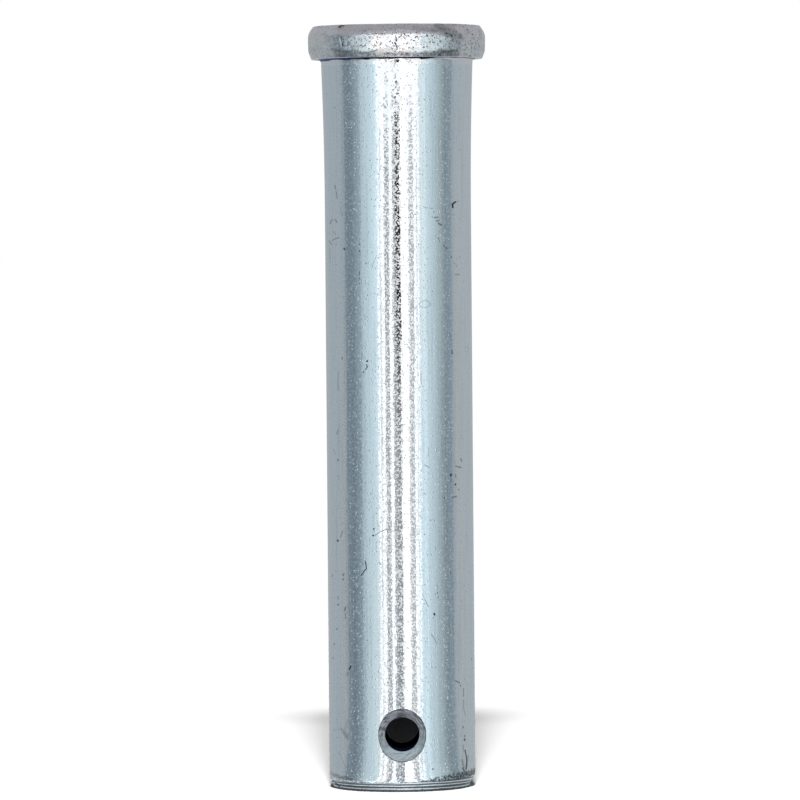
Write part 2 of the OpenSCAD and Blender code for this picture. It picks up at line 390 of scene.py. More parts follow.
class Value:
    """A number, vector or colour that a node gives. Arithmetic with it adds nodes to the same wiring."""

    def __init__(self, wiring, socket):
        self.wiring = wiring
        self.socket = socket

    def apply(self, operation, *others):
        """What a math node makes of this value and others."""
        kind = "Math" if self.socket.type == "VALUE" else "VectorMath"
        return self.wiring.value(kind, dict(enumerate((self, *others))), operation=operation)

    def __add__(self, other):
        return self.apply("ADD", other)

    def __sub__(self, other):
        return self.apply("SUBTRACT", other)

    def __rsub__(self, other):
        return self * -1.0 + other

    def __mul__(self, other):
        return self.apply("MULTIPLY", other)

    def __truediv__(self, other):
        return self.apply("DIVIDE", other)

    def largest(self, *others):
        value = self
        for other in others:
            value = value.apply("MAXIMUM", other)
        return value

    def mix(self, a, b):
        """A colour between a and b, for a share from 0 to 1."""
        return self.wiring.value("Mix", {0: self, 6: a, 7: b}, 2, data_type="RGBA")

    def fade(self, start, end, low=0.0, high=1.0):
        """A smooth step of this number, from low at start to high at end."""
        inputs = {"Value": self, "From Min": start, "From Max": end, "To Min": low, "To Max": high}
        return self.wiring.value("MapRange", inputs, interpolation_type="SMOOTHSTEP")

    def noise(self, size, detail=1.0, roughness=0.5):
        """Soft noise from 0 to 1 at this place, whose features are about size wide."""
        inputs = {"Vector": self, "Scale": 1 / size, "Detail": detail, "Roughness": roughness}
        return self.wiring.value("TexNoise", inputs, "Fac")

    def measure(self, operation, *others):
        """A number worked out from this vector and others, such as a length."""
        inputs = dict(enumerate((self, *others)))
        return self.wiring.value("VectorMath", inputs, "Value", operation=operation)

    def from_axis(self):
        """How far this place is from the pin's axis."""
        return (self * (1, 1, 0)).measure("LENGTH")


class Wiring:
    """Short ways to add the nodes that the materials here are made of."""

    def __init__(self, tree):
        self.tree = tree
        tree.nodes.clear()

    def node(self, kind, inputs, **settings):
        node = self.tree.nodes.new("ShaderNode" + kind)
        for name, value in settings.items():
            setattr(node, name, value)
        for name, value in inputs.items():
            if isinstance(value, Value):
                self.tree.links.new(value.socket, node.inputs[name])
            else:
                node.inputs[name].default_value = value
        return node

    def value(self, kind, inputs, output=0, **settings):
        """One of the values that a new node gives."""
        return Value(self, self.node(kind, inputs, **settings).outputs[output])

    def values(self, kind, inputs, *outputs, **settings):
        """Several of the values that a new node gives."""
        node = self.node(kind, inputs, **settings)
        return [Value(self, node.outputs[output]) for output in outputs]

    def place(self):
        """The point of the object that is seen."""
        return self.value("TexCoord", {}, "Object")

    def end(self, kind, inputs, output="OutputMaterial"):
        """The shader that the material ends in."""
        self.node(output, {"Surface": self.value(kind, inputs)})


def make_camera():
    data = bpy.data.cameras.new("camera")
    data.sensor_width = 36
    data.lens = PIXELS_PER_METRE * CAMERA_DISTANCE * data.sensor_width / PHOTO_WIDTH
    data.clip_start = 0.01
    data.clip_end = 500
    camera = add_object("camera", data)
    camera.location = (0, -CAMERA_DISTANCE, CAMERA_HEIGHT)
    line = Vector((AIM_X, 0, AIM_Z)) - camera.location
    turn = line.to_track_quat("-Z", "Y").to_matrix() @ Matrix.Rotation(CAMERA_ROLL, 3, "Z")
    camera.rotation_euler = turn.to_euler()
    bpy.context.scene.camera = camera
    return camera.location, turn


def on_skin(view, x, y):
    """The point of the pin's front that the photograph shows at a pixel."""
    eye, turn = view
    focal = PIXELS_PER_METRE * CAMERA_DISTANCE
    middle = PHOTO_WIDTH / 2
    ray = turn @ Vector(((x - middle) / focal, (middle - y) / focal, -1))
    radius = HEAD_R if y < HEAD_ROW else SHANK_R
    a = ray[0]**2 + ray[1]**2
    b = eye[0] * ray[0] + eye[1] * ray[1]
    c = eye[0]**2 + eye[1]**2 - radius**2
    return eye + ray * (-b - sqrt(max(0, b * b - a * c))) / a


def seen_by_eye(wiring):
    """A value that is 1 for camera, glossy and transmission rays and 0 for light on the floor."""
    rays = wiring.values("LightPath", {}, "Is Camera Ray", "Is Glossy Ray", "Is Transmission Ray")
    return rays[0].largest(*rays[1:])


def make_world():
    world = bpy.data.worlds.new("studio")
    bpy.context.scene.world = world
    world.use_nodes = True
    wiring = Wiring(world.node_tree)
    room = wiring.value("Background", {"Color": (1, 1, 1, 1), "Strength": AMBIENT})
    white = wiring.value("Background", {"Color": (1, 1, 1, 1), "Strength": 1})
    wiring.end("MixShader", {0: seen_by_eye(wiring), 1: room, 2: white}, "OutputWorld")


def make_floor():
    mesh = bpy.data.meshes.new("floor")
    corners = [(x * FLOOR_HALF, y * FLOOR_HALF, 0) for x, y in ((-1, -1), (1, -1), (1, 1), (-1, 1))]
    mesh.from_pydata(corners, [], [(0, 1, 2, 3)])
    material, wiring = new_material("pale_floor")
    wiring.end("BsdfDiffuse", {"Color": (FLOOR_ALBEDO, FLOOR_ALBEDO, FLOOR_ALBEDO, 1)})
    mesh.materials.append(material)
    add_object("floor", mesh)


def make_key_lamp():
    data = bpy.data.lights.new("key", "SUN")
    data.energy = KEY_STRENGTH
    data.angle = KEY_ANGLE
    lamp = add_object("key", data)
    towards = Vector((0, cos(KEY_ELEVATION), -sin(KEY_ELEVATION)))
    lamp.rotation_euler = towards.to_track_quat("-Z", "Y").to_euler()
    lamp.visible_glossy = False


def card_material():
    material, wiring = new_material("card")
    wiring.end("Emission", {"Color": wiring.value("Attribute", {}, "Color", attribute_name="tint")})
    return material


def make_card(name, material, start, end, section, colour):
    """A band from one azimuth to another. section gives its (radius, height) points at an azimuth, and
    colour the tint of each point at a share of the way."""
    steps = max(1, round((end - start) / CARD_STEP))
    n = len(section(start))
    points, tints, faces = [], [], []
    for i in range(steps + 1):
        azimuth = start + (end - start) * i / steps
        angle = radians(azimuth)
        for j, (radius, height) in enumerate(section(azimuth)):
            points.append((radius * sin(angle), -radius * cos(angle), height))
            tints.append(colour(i / steps, j))
    for i in range(steps):
        for k in range(i * n, i * n + n - 1):
            faces.append((k, k + 1, k + 1 + n, k + n))
    mesh = bpy.data.meshes.new(name)
    mesh.from_pydata(points, [], faces)
    layer = mesh.attributes.new("tint", "FLOAT_COLOR", "POINT")
    for i, tint in enumerate(tints):
        layer.data[i].color = (*tint, 1)
    mesh.materials.append(material)
    card = add_object(name, mesh)
    for kind in ("camera", "diffuse", "transmission", "volume_scatter", "shadow"):
        setattr(card, "visible_" + kind, False)


def wall_top(azimuth):
    share = min(1, abs(azimuth) / SIDE_AZIMUTH)
    return CARD_TOP + (SIDE_TOP - CARD_TOP) * share * share


def strip_and_wall(azimuth):
    """From the strip on the floor to the top of the wall."""
    heights = (TENT_FLOOR, LOW_PART, HIGH_PART, NECK_PART, NECK_PART + NECK_STEP, wall_top(azimuth))
    return [(TENT_MOUTH, TENT_FLOOR)] + [(TENT_RADIUS, height) for height in heights]


def card_colour(bright_start, bright_end, low_share, hue):
    """The tints of a card. Of the points of strip_and_wall, the first three are its low part and the last
    two lie above its neck part."""
    def colour(share, j):
        bright = bright_start + (bright_end - bright_start) * share
        if j > 4 and hue in (WHITE, COOL):
            bright = NECK_BRIGHT
        return [part * bright * (low_share if j < 3 else 1) for part in hue]
    return colour


def foot_ring(azimuth):
    return [(FOOT_MOUTH, TENT_FLOOR), (TENT_MOUTH, TENT_FLOOR)]


def foot_colour(share, j):
    """Darker towards the pin, a painted contact shadow, and brighter in front."""
    front = 1 + FOOT_FRONT * max(0, 1 - abs(share - 0.5) / FOOT_FADE)
    return [part * front for part in (FOOT_SHADOW, FOOT_LIGHT)[j]]


def roof_section(azimuth):
    return [(TENT_RADIUS, wall_top(azimuth)), (TENT_RADIUS, TENT_TOP), (MM, TENT_TOP)]


def roof_colour(share, j):
    return ROOF_GREY


def make_tent():
    material = card_material()
    for i, (start, end, *tints) in enumerate(CARDS):
        make_card(f"card_{i}", material, start, end, strip_and_wall, card_colour(*tints))
    make_card("foot", material, -180, 180, foot_ring, foot_colour)
    make_card("roof", material, -180, 180, roof_section, roof_colour)


def smooth(value, start, end):
    """A smooth step from 0 at start to 1 at end."""
    share = min(1, max(0, (value - start) / (end - start)))
    return share * share * (3 - 2 * share)


def edge_l(radius, turn):
    """Length, from the side of the head to a face, of the tangent at the end of an edge round."""
    return radius * tan(turn / 2) + EDGE_LAND


def outline():
    """Corners of half the pin's section, from the centre of the tip face to the centre of the top:
    radius, height, radius of the round there, and the row spacing on the run that follows."""
    swell_r = SHANK_R + SWELL_OUT
    swell_meet = SWELL_L / 2 - NECK_R
    swell_lean = atan(SWELL_OUT / (SWELL_L - swell_meet))
    swell_arc_r = swell_meet / tan(swell_lean / 2)
    low_l = edge_l(LOW_EDGE_R, LOW_EDGE_TURN)
    top_l = edge_l(TOP_EDGE_R, TOP_EDGE_TURN)
    return [
        (0, 0, 0, FLAT),
        (SHANK_R - BEVEL_IN, 0, TIP_EDGE_R, FINE),
        (SHANK_R, BEVEL_IN / BEVEL_SLOPE, BEVEL_BLEND_R, NEAR_HOLE),
        (SHANK_R, HOLE_UP + PATCH + NEAR_HOLE, 0, LONG),
        (SHANK_R, SHANK_L - SWELL_L + swell_meet, swell_arc_r, LONG),
        (swell_r, SHANK_L, NECK_R, FINE),
        (HEAD_R - low_l * sin(LOW_EDGE_TURN), SHANK_L, 0, FINE),
        (HEAD_R, SHANK_L + low_l * cos(LOW_EDGE_TURN), LOW_EDGE_R, FINE),
        (HEAD_R, OVERALL_L - top_l * cos(TOP_EDGE_TURN), TOP_EDGE_R, FINE),
        (HEAD_R - top_l * sin(TOP_EDGE_TURN), OVERALL_L, TOP_RIM_R, FLAT),
        (0, OVERALL_L, 0, FLAT),
    ]


def corner_arc(before, corner, after, radius):
    """The points of the round at a corner."""
    back = (before - corner).normalized()
    ahead = (after - corner).normalized()
    half = back.angle(ahead) / 2
    centre = corner + (back + ahead).normalized() * radius / sin(half)
    first = corner + back * radius / tan(half) - centre
    turn = pi - 2 * half
    steps = max(2, ceil(min(radius * turn / FINE, degrees(turn) * 2)))
    sign = 1 if back.cross(ahead) < 0 else -1
    return [centre + Matrix.Rotation(sign * turn * i / steps, 2) @ first for i in range(steps + 1)]


def outline_rows():
    """Rows of the mesh as (radius, height) points on the rounded outline, without the two centres."""
    corners = outline()
    points = [Vector(corner[:2]) for corner in corners]
    rows = [points[0]]
    for i in range(1, len(corners)):
        radius = corners[i][2]
        if radius > 0:
            arc = corner_arc(points[i - 1], points[i], points[i + 1], radius)
        else:
            arc = [points[i]]
        start = rows[-1]
        steps = ceil((arc[0] - start).length / corners[i - 1][3])
        rows += [start.lerp(arc[0], k / steps) for k in range(1, steps)]
        rows += arc
    return rows[1:-1]


def bevel_radius(height):
    """Radius of the bevelled tip at a height, with the blend into the shank."""
    cone = SHANK_R - BEVEL_IN + height * BEVEL_SLOPE
    reach = BEVEL_BLEND_R * tan(atan(BEVEL_SLOPE) / 2)
    foot = BEVEL_IN / BEVEL_SLOPE - reach * cos(atan(BEVEL_SLOPE))
    top = BEVEL_IN / BEVEL_SLOPE + reach
    if height < foot:
        return cone
    if height > top:
        return SHANK_R
    return SHANK_R - BEVEL_BLEND_R + sqrt(BEVEL_BLEND_R**2 - (top - height)**2)


def ring_depth(height):
    """Depth of the turned ring groove at a height on the bevel."""
    share = abs(height - RING_UP) / (RING_W / 2)
    return RING_DEEP * max(0, 1 - share * share)


def round_noise(x, y, waves, level):
    """Noise from about -1 to 1 at a point of the unit circle, with about that many waves to a radian.
    level picks one of many patterns."""
    return noise.noise(Vector((waves * x, waves * y, level)))


def tip_shift(angle, radius, height):
    """How far out the tilted bevel takes the surface from the even outline."""
    if height > BEVEL_TOP or radius < SHANK_R - BEVEL_IN - TIP_EDGE_R:
        return 0
    rise = BEVEL_RISE + SHANK_R * (BEVEL_TILT_X * sin(angle) - BEVEL_TILT_Y * cos(angle))
    ragged = BEVEL_RAGGED * round_noise(sin(angle), cos(angle), BEVEL_WAVES, 3)
    return bevel_radius(height - rise - ragged) - bevel_radius(height)


def stroke_distance(place, start, end):
    """Distance of a point from a stroke, all seen from the front."""
    run = end - start
    share = min(1, max(0, (place - start).dot(run) / run.length_squared))
    return (place - start - run * share).length


def dent_depth(place, dents):
    """How deep the dents go at a point of the front. No dent is longer than 3 mm."""
    deep = 0
    flat = Vector((place[0], place[2]))
    for start, end, width, depth in dents:
        if abs(flat[1] - start[1]) < 3 * MM:
            deep = max(deep, depth * (1 - smooth(stroke_distance(flat, start, end), 0, width / 2)))
    return deep


def head_relief(place, radius, height):
    """How far the forged head's surface stands off its even outline, always inward. It starts beyond
    the neck on the seat, and at the rim of the top face."""
    share = smooth(height, SHANK_L, SHANK_L + 0.5 * MM) * smooth(radius, SHANK_R, SHANK_R + MM)
    share = max(share, smooth(height, OVERALL_L - 0.2 * MM, OVERALL_L))
    if share == 0:
        return 0
    waves = WAVE_HIGH * noise.noise(place / WAVE_SIZE)
    lumps = LUMP_HIGH * noise.noise(place / LUMP_SIZE + Vector((5, 0, 0)))
    side = (height - SHANK_L) / (OVERALL_L - SHANK_L) * 2 - 1
    barrel = BARREL * side * side * smooth(radius, HEAD_R - MM, HEAD_R)
    return share * (waves + lumps - WAVE_HIGH - LUMP_HIGH - barrel)


def surface_point(angle, radius, height, slope, dents):
    """A point of the pin's skin. slope is the outline's outward direction there. Dents count on the
    head and low on the tip, and the ring groove only on the bevel."""
    place = Vector((radius * sin(angle), -radius * cos(angle), height))
    stand = head_relief(place, radius, height)
    if place[1] < 0 and not 3 * MM < height < SHANK_L:
        stand -= dent_depth(place, dents)
    radius += tip_shift(angle, radius, height) + slope[0] * stand
    if height < 2 * MM and radius > SHANK_R - BEVEL_IN:
        radius -= ring_depth(height)
    return (radius * sin(angle), -radius * cos(angle), height + slope[1] * stand)


def outward(rows, i):
    """Direction across the outline at a row, away from the metal."""
    along = rows[min(i + 1, len(rows) - 1)] - rows[max(i - 1, 0)]
    return Vector((along[1], -along[0])).normalized()


def patch_loop(first, last, reach):
    """The grid's vertices round a mouth of the hole, as (row, column offset), once round."""
    loop = [(first, k) for k in range(-reach, reach)]
    loop += [(j, reach) for j in range(first, last)]
    loop += [(last, k) for k in range(reach, -reach, -1)]
    loop += [(j, -reach) for j in range(last, first, -1)]
    return loop


def mouth_point(bearing):
    """Radius at which the countersink meets the shank, in a direction round the hole, with its burr."""
    rough = BURR_WAVE * round_noise(cos(bearing), sin(bearing), BURR_WAVES, 9)
    rough += BURR_NICK * round_noise(cos(bearing), sin(bearing), BURR_NICKS, 4)
    radius = MOUTH_R
    for _ in range(8):
        depth = SHANK_R - sqrt(SHANK_R**2 - (radius * cos(bearing))**2)
        radius = MOUTH_R + rough - depth * MOUTH_SLOPE
    return radius


def mouth_rings(rows, loop, side):
    """Rings of points, first from the grid to the rim of one mouth and then down its countersink. side
    is -1 at the front and 1 at the back."""
    bore_end = SHANK_R - (MOUTH_R - HOLE_R) / MOUTH_SLOPE
    edge = []
    for j, k in loop:
        grid = Vector((SHANK_R * k * COLUMN, rows[j][1] - HOLE_UP))
        bearing = atan2(grid[1], grid[0])
        radius = mouth_point(bearing)
        x, z = radius * cos(bearing), radius * sin(bearing)
        edge.append((grid, Vector((SHANK_R * asin(x / SHANK_R), z)), bearing, radius))
    shares = [(k / PATCH_RINGS)**PATCH_CROWD * (1 - RIM_SHARE) for k in range(1, PATCH_RINGS)]
    patch, cone = [], []
    for share in shares + [1 - RIM_SHARE, 1]:
        ring = []
        for grid, rim, bearing, radius in edge:
            u, v = grid.lerp(rim, share)
            angle = u / SHANK_R
            ring.append((SHANK_R * sin(angle), side * SHANK_R * cos(angle), HOLE_UP + v))
        patch.append(ring)
    for share in [RIM_SHARE] + [i / CONE_RINGS for i in range(1, CONE_RINGS)] + [1 - RIM_SHARE, 1]:
        ring = []
        for grid, rim, bearing, radius in edge:
            rim_depth = sqrt(SHANK_R**2 - (radius * cos(bearing))**2)
            across = radius + (HOLE_R - radius) * share
            depth = side * (rim_depth + (bore_end - rim_depth) * share)
            ring.append((across * cos(bearing), depth, HOLE_UP + across * sin(bearing)))
        cone.append(ring)
    return patch, cone


def marked_cells(lines):
    """The squares of a one millimetre grid, seen from the front, that lie near the lines."""
    cells = set()
    for start, end in lines:
        steps = ceil((end - start).length / MM) + 1
        for k in range(steps + 1):
            point = start.lerp(end, k / steps)
            across, up = round(point[0] / MM), round(point[2] / MM)
            cells |= {(across + i, up + j) for i in range(-2, 3) for j in range(-2, 3)}
    return cells


class Skin:
    """The pin's skin as it is built: its points, its faces and the finish of each. cells are the marked
    cells of the front and of the back."""

    def __init__(self, cells):
        self.cells = cells
        self.points = []
        self.faces = []
        self.finishes = []

    def finish_at(self, face):
        """Which finish a face of the outside has, from its place."""
        corners = [self.points[k] for k in face]
        x, y, z = (sum(corner[k] for corner in corners) / len(corners) for k in range(3))
        if z > SHANK_L - MM:
            return HEAD
        if z < TIP_PART:
            return TIP
        cells = self.cells[0] if y < 0 else self.cells[1]
        if (round(x / MM), round(z / MM)) not in cells:
            return PLAIN
        return MARKED + min(ZONES - 1, int(z / ZONE))

    def add_face(self, face, finish=None):
        self.faces.append(face)
        self.finishes.append(self.finish_at(face) if finish is None else finish)

    def add_points(self, points):
        """The numbers of the points that are added."""
        first = len(self.points)
        self.points += points
        return list(range(first, len(self.points)))

    def join(self, rings, finish=None):
        """Bands of faces from each ring to the next."""
        for ring, after in zip(rings, rings[1:]):
            for i in range(len(ring)):
                m = (i + 1) % len(ring)
                self.add_face((ring[i], ring[m], after[m], after[i]), finish)

    def to_mesh(self, name):
        mesh = bpy.data.meshes.new(name)
        mesh.from_pydata(self.points, [], self.faces)
        mesh.polygons.foreach_set("material_index", self.finishes)
        sheet = bmesh.new()
        sheet.from_mesh(mesh)
        # Grid points inside the open squares round the hole
        unused = [vertex for vertex in sheet.verts if not vertex.link_faces]
        bmesh.ops.delete(sheet, geom=unused, context="VERTS")
        bmesh.ops.recalc_face_normals(sheet, faces=sheet.faces)
        sheet.to_mesh(mesh)
        sheet.free()
        mesh.shade_smooth()
        return mesh


def flat_dents(view):
    """The dents as start, end, width and depth, seen from the front."""
    dents = []
    for x1, y1, x2, y2, width, depth in DENTS:
        start, end = on_skin(view, x1, y1), on_skin(view, x2, y2)
        dents.append((start.xz, end.xz, width * MM, depth * MM))
    return dents


def join_hole(skin, rows, grid, first, last, reach):
    """The mouths and the bore of the hole, which close the open squares of the grid."""
    loop = patch_loop(first, last, reach)
    ends = []
    for side in (-1, 1):
        turn = 0 if side < 0 else COLUMNS // 2
        square = [grid[j][(turn - side * k) % COLUMNS] for j, k in loop]
        patch, cone = mouth_rings(rows, loop, side)
        patch = [square] + [skin.add_points(ring) for ring in patch]
        cone = [patch[-1]] + [skin.add_points(ring) for ring in cone]
        skin.join(patch)
        skin.join(cone, MOUTH)
        ends.append(cone[-1])
    front, back = ends
    pairs = [(Vector(skin.points[i]), Vector(skin.points[k])) for i, k in zip(front, back)]
    bore = [front]
    for step in range(1, BORE_RINGS):
        bore.append(skin.add_points([start.lerp(end, step / BORE_RINGS)[:] for start, end in pairs]))
    skin.join(bore + [back], BORE)


def build_pin_mesh(view, *lines):
    """The pin's skin. lines are the start and end of each mark of the front, and then of the back."""
    rows = outline_rows()
    dents = flat_dents(view)
    skin = Skin([marked_cells(side) for side in lines])
    grid = []
    for i, (radius, height) in enumerate(rows):
        slope = outward(rows, i)
        ring = [surface_point(c * COLUMN, radius, height, slope, dents) for c in range(COLUMNS)]
        grid.append(skin.add_points(ring))

    on_shank = [j for j, row in enumerate(rows) if row[0] > SHANK_R - 0.1 * MM]
    near = [j for j in on_shank if abs(rows[j][1] - HOLE_UP) < PATCH]
    first, last = near[0], near[-1]
    reach = round(PATCH / SHANK_R / COLUMN)
    open_columns = {(k + turn) % COLUMNS for k in range(-reach, reach) for turn in (0, COLUMNS // 2)}
    for j in range(len(rows) - 1):
        for c in range(COLUMNS):
            d = (c + 1) % COLUMNS
            if not (first <= j < last and c in open_columns):
                skin.add_face((grid[j][c], grid[j][d], grid[j + 1][d], grid[j + 1][c]))
    for height, ring in ((0, grid[0]), (OVERALL_L - WAVE_HIGH, grid[-1])):
        centre = skin.add_points([(0, 0, height)])[0]
        for c in range(COLUMNS):
            skin.add_face((centre, ring[c], ring[(c + 1) % COLUMNS]))
    join_hole(skin, rows, grid, first, last, reach)
    return skin.to_mesh("pin_skin")


def stroke_group():
    """A node group that gives 1 on a stroke between two points and 0 beyond its soft edge."""
    tree = bpy.data.node_groups.new("stroke", "ShaderNodeTree")
    for name in ("Place", "Start", "Run", "Slope"):
        tree.interface.new_socket(name, in_out="INPUT", socket_type="NodeSocketVector")
    for name, way in (("Width", "INPUT"), ("Share", "OUTPUT")):
        tree.interface.new_socket(name, in_out=way, socket_type="NodeSocketFloat")
    wiring = Wiring(tree)
    names = ("Place", "Start", "Run", "Slope", "Width")
    given = tree.nodes.new("NodeGroupInput").outputs
    place, start, run, slope, width = (Value(wiring, given[name]) for name in names)
    from_start = place - start
    along = wiring.value("Clamp", {0: from_start.measure("DOT_PRODUCT", slope)})
    foot = wiring.value("VectorMath", {0: run, "Scale": along}, operation="SCALE")
    share = (from_start.measure("DISTANCE", foot) / width).fade(0.25, 0.75, 1.0, 0.0)
    tree.links.new(share.socket, tree.nodes.new("NodeGroupOutput").inputs[0])
    return tree


def front_strokes(view):
    """The listed marks as start, end, width and darkness, in the plane that faces the camera."""
    strokes = []
    for x1, y1, x2, y2, width, dark in MARKS:
        start, end = on_skin(view, x1, y1), on_skin(view, x2, y2)
        start[1] = end[1] = 0
        strokes.append((start, end, width * MM, dark))
    return strokes


def back_strokes():
    """Marks of the same kinds for the side that the photograph doesn't show."""
    dice = random.Random(3)
    strokes = []
    for _ in range(BACK_MARKS):
        start = Vector((dice.uniform(-9, 9), 0, dice.uniform(6, 108))) * MM
        length = dice.choice(BACK_LENGTHS) * MM
        bearing = dice.uniform(0, pi)
        run = Vector((cos(bearing), 0, sin(bearing))) * length
        strokes.append((start, start + run, dice.uniform(0.12, 0.26) * MM, dice.uniform(0.3, 0.9)))
    return strokes


def stroke_shares(wiring, group, place, strokes):
    """How dark the strokes make the metal, from 0 to 1."""
    total = 0.0
    for start, end, width, dark in strokes:
        run = end - start
        slope = run / run.length_squared
        inputs = {"Place": place, "Start": start, "Run": run, "Slope": slope, "Width": width}
        total = (wiring.value("Group", inputs, node_tree=group) * dark).largest(total)
    return total


def spot_shares(place, spots, total):
    """The same for the rims of the dried drops, where that is more than total."""
    for centre, half_x, half_y, dark in spots:
        size = (PIXELS_PER_METRE / half_x, 0, PIXELS_PER_METRE / half_y)
        away = ((place - (centre[0], 0, centre[2])) * size).measure("LENGTH")
        total = (away - 1.0).apply("ABSOLUTE").fade(0.05, 0.22, dark, 0.0).largest(total)
    return total


def handling_marks(wiring, place, y, front, back, spots):
    """Scratches, pits and dried drops: those of the front, and scratches on the back."""
    group = stroke_group()
    colour = wiring.value("TexNoise", {"Vector": place, "Scale": 1 / WOBBLE_SIZE, "Detail": 1}, "Color")
    wobble = colour.apply("MULTIPLY_ADD", (2 * WOBBLE,) * 3, (-WOBBLE,) * 3)
    flat = (place + wobble) * (1, 0, 1)
    ahead = spot_shares(flat, spots, stroke_shares(wiring, group, flat, front))
    behind = stroke_shares(wiring, group, flat, back)
    return wiring.value("Mix", {0: y.apply("GREATER_THAN", 0.0), 2: ahead, 3: behind})


def facet_normal(wiring, place, normal, size, tilt):
    """The normal, turned by its own small tilt on each facet of the plate."""
    cells = wiring.value("TexVoronoi", {"Vector": place, "Scale": 1 / size}, "Color")
    turned = normal + (cells - (0.5, 0.5, 0.5)) * ((2 * tilt,) * 3)
    return turned.apply("NORMALIZE")


def head_surface(place, x, z):
    """The forged head: its relief, and from 0 to 1 how dark and dull it is low down and high up, which is
    painted shade of its rounded edges, how specked and how smeared. The painted shade bands bow towards
    the bright stretch between them and thin out beyond its ends, and the specks crowd on it and at its
    right."""
    on_head = z.fade(SHANK_L, SHANK_L + 0.15 * MM)
    relief = place.noise(0.5 * MM, detail=3, roughness=0.6)
    level = z + (place.noise(1.2 * MM, detail=3) - 0.5) * MM
    aside = x / BRIGHT_HALF
    from_middle = aside.apply("ABSOLUTE")
    bow = aside * aside * BOW

    low = (level - bow * 0.4).fade(SHANK_L + 0.5 * MM, SHANK_L + 0.9 * MM, 0.9, 0.0)
    low = low * from_middle.fade(1.1, 1.35, 1.0, 0.2)
    low = low * place.noise(0.6 * MM, detail=3).fade(0.35, 0.6, 0.55, 1.0)
    high = (level + bow).fade(SHANK_L + 3.75 * MM, SHANK_L + 4.2 * MM)
    high = high * from_middle.fade(1.0, 1.4, 0.6, 0.25)

    crowd = from_middle.fade(0.8, 1.2, 1.0, 0.35) * high.fade(0.1, 0.5, 1.0, 0.3)
    crowd = crowd.largest(aside.fade(0.8, 1.1, 0.0, 0.7))
    specks = place.noise(0.34 * MM, detail=2).fade(0.36, 0.41, 0.9, 0.0) * crowd
    smears = (place * (1, 1, 3)).noise(1.8 * MM, detail=4, roughness=0.6)
    smears = smears.fade(0.5, 0.7, 0.0, 0.5)
    return [value * on_head for value in (relief, low, high, specks, smears)]


def neck_shade(place, x, z):
    """The painted shade: a dark line in the corner under the head, thinner to the right, from 0 to 1."""
    broken = place.noise(2.5 * MM, detail=2)
    reach = broken.fade(0.3, 0.6, 0.26 * MM, 0.42 * MM)
    reach = reach * x.fade(3.5 * MM, 6.5 * MM, 1.0, 0.3)
    line = (SHANK_L + 0.02 * MM - z) / reach
    inside = line.fade(0.7, 1.1, 1.0, 0.0) * line.fade(-0.3, 0.0)
    return inside * place.from_axis().fade(SHANK_R + 0.7 * MM, SHANK_R + 1.1 * MM, 1.0, 0.0)


def tip_surface(place, x, z):
    """The turned bevel: the relief of its rings, and from 0 to 1 how dark its ragged border, its rings
    and the lip round the tip face are. The border's darkness is painted shade, thicker and darker to the
    right, and the rings are painted darker in their grooves, as painted shade."""
    tilt = place.measure("DOT_PRODUCT", (BEVEL_TILT_X, BEVEL_TILT_Y, 0))
    above = z - (tilt + (BEVEL_IN / BEVEL_SLOPE + BEVEL_RISE))
    ragged = place.noise(0.6 * MM, detail=4, roughness=0.7)
    reach = x.fade(2 * MM, 8 * MM, 0.25 * MM, 1.2 * MM)
    reach = reach * ragged.fade(0.35, 0.65, 0.4, 1.1)
    edge = (above.largest(above * -2.0) / reach).fade(0.4, 1.0, 1.0, 0.0)
    edge = edge * x.fade(-4 * MM, 5 * MM, 0.75, 0.95)
    edge = edge * place.noise(0.3 * MM, detail=2).fade(0.38, 0.55, 0.6, 1.0)

    bevel = above.fade(-0.1 * MM, 0.0, 1.0, 0.0)
    sway = (place * (0.1, 0.1, 1)).noise(0.6 * MM, detail=3)
    phase = z / (RING_PITCH / (2 * pi)) + sway * 3.0
    turned = phase.apply("SINE")
    # The rings' darkness follows their relief: painted shade in the grooves
    rings = turned.fade(-0.5, 0.5, 0.9, 0.25)
    lip = (z + ragged * (0.8 * MM)).fade(0.68 * MM, 0.76 * MM, 0.95, 0.0)
    return turned * bevel, edge.largest(lip.largest(rings) * bevel)


def side_marks(place, marks, part):
    """The marks of the head or the tip. They are flat, as seen from the front, so they end short of the
    end faces, and those of the head are mottled."""
    side = HEAD_R if part == HEAD else SHANK_R
    marks = marks * place.from_axis().fade(side - 1.4 * MM, side - 1.1 * MM)
    if part == HEAD:
        marks = marks * place.noise(0.3 * MM, detail=2).fade(0.4, 0.55, 0.5, 1.1)
    return marks


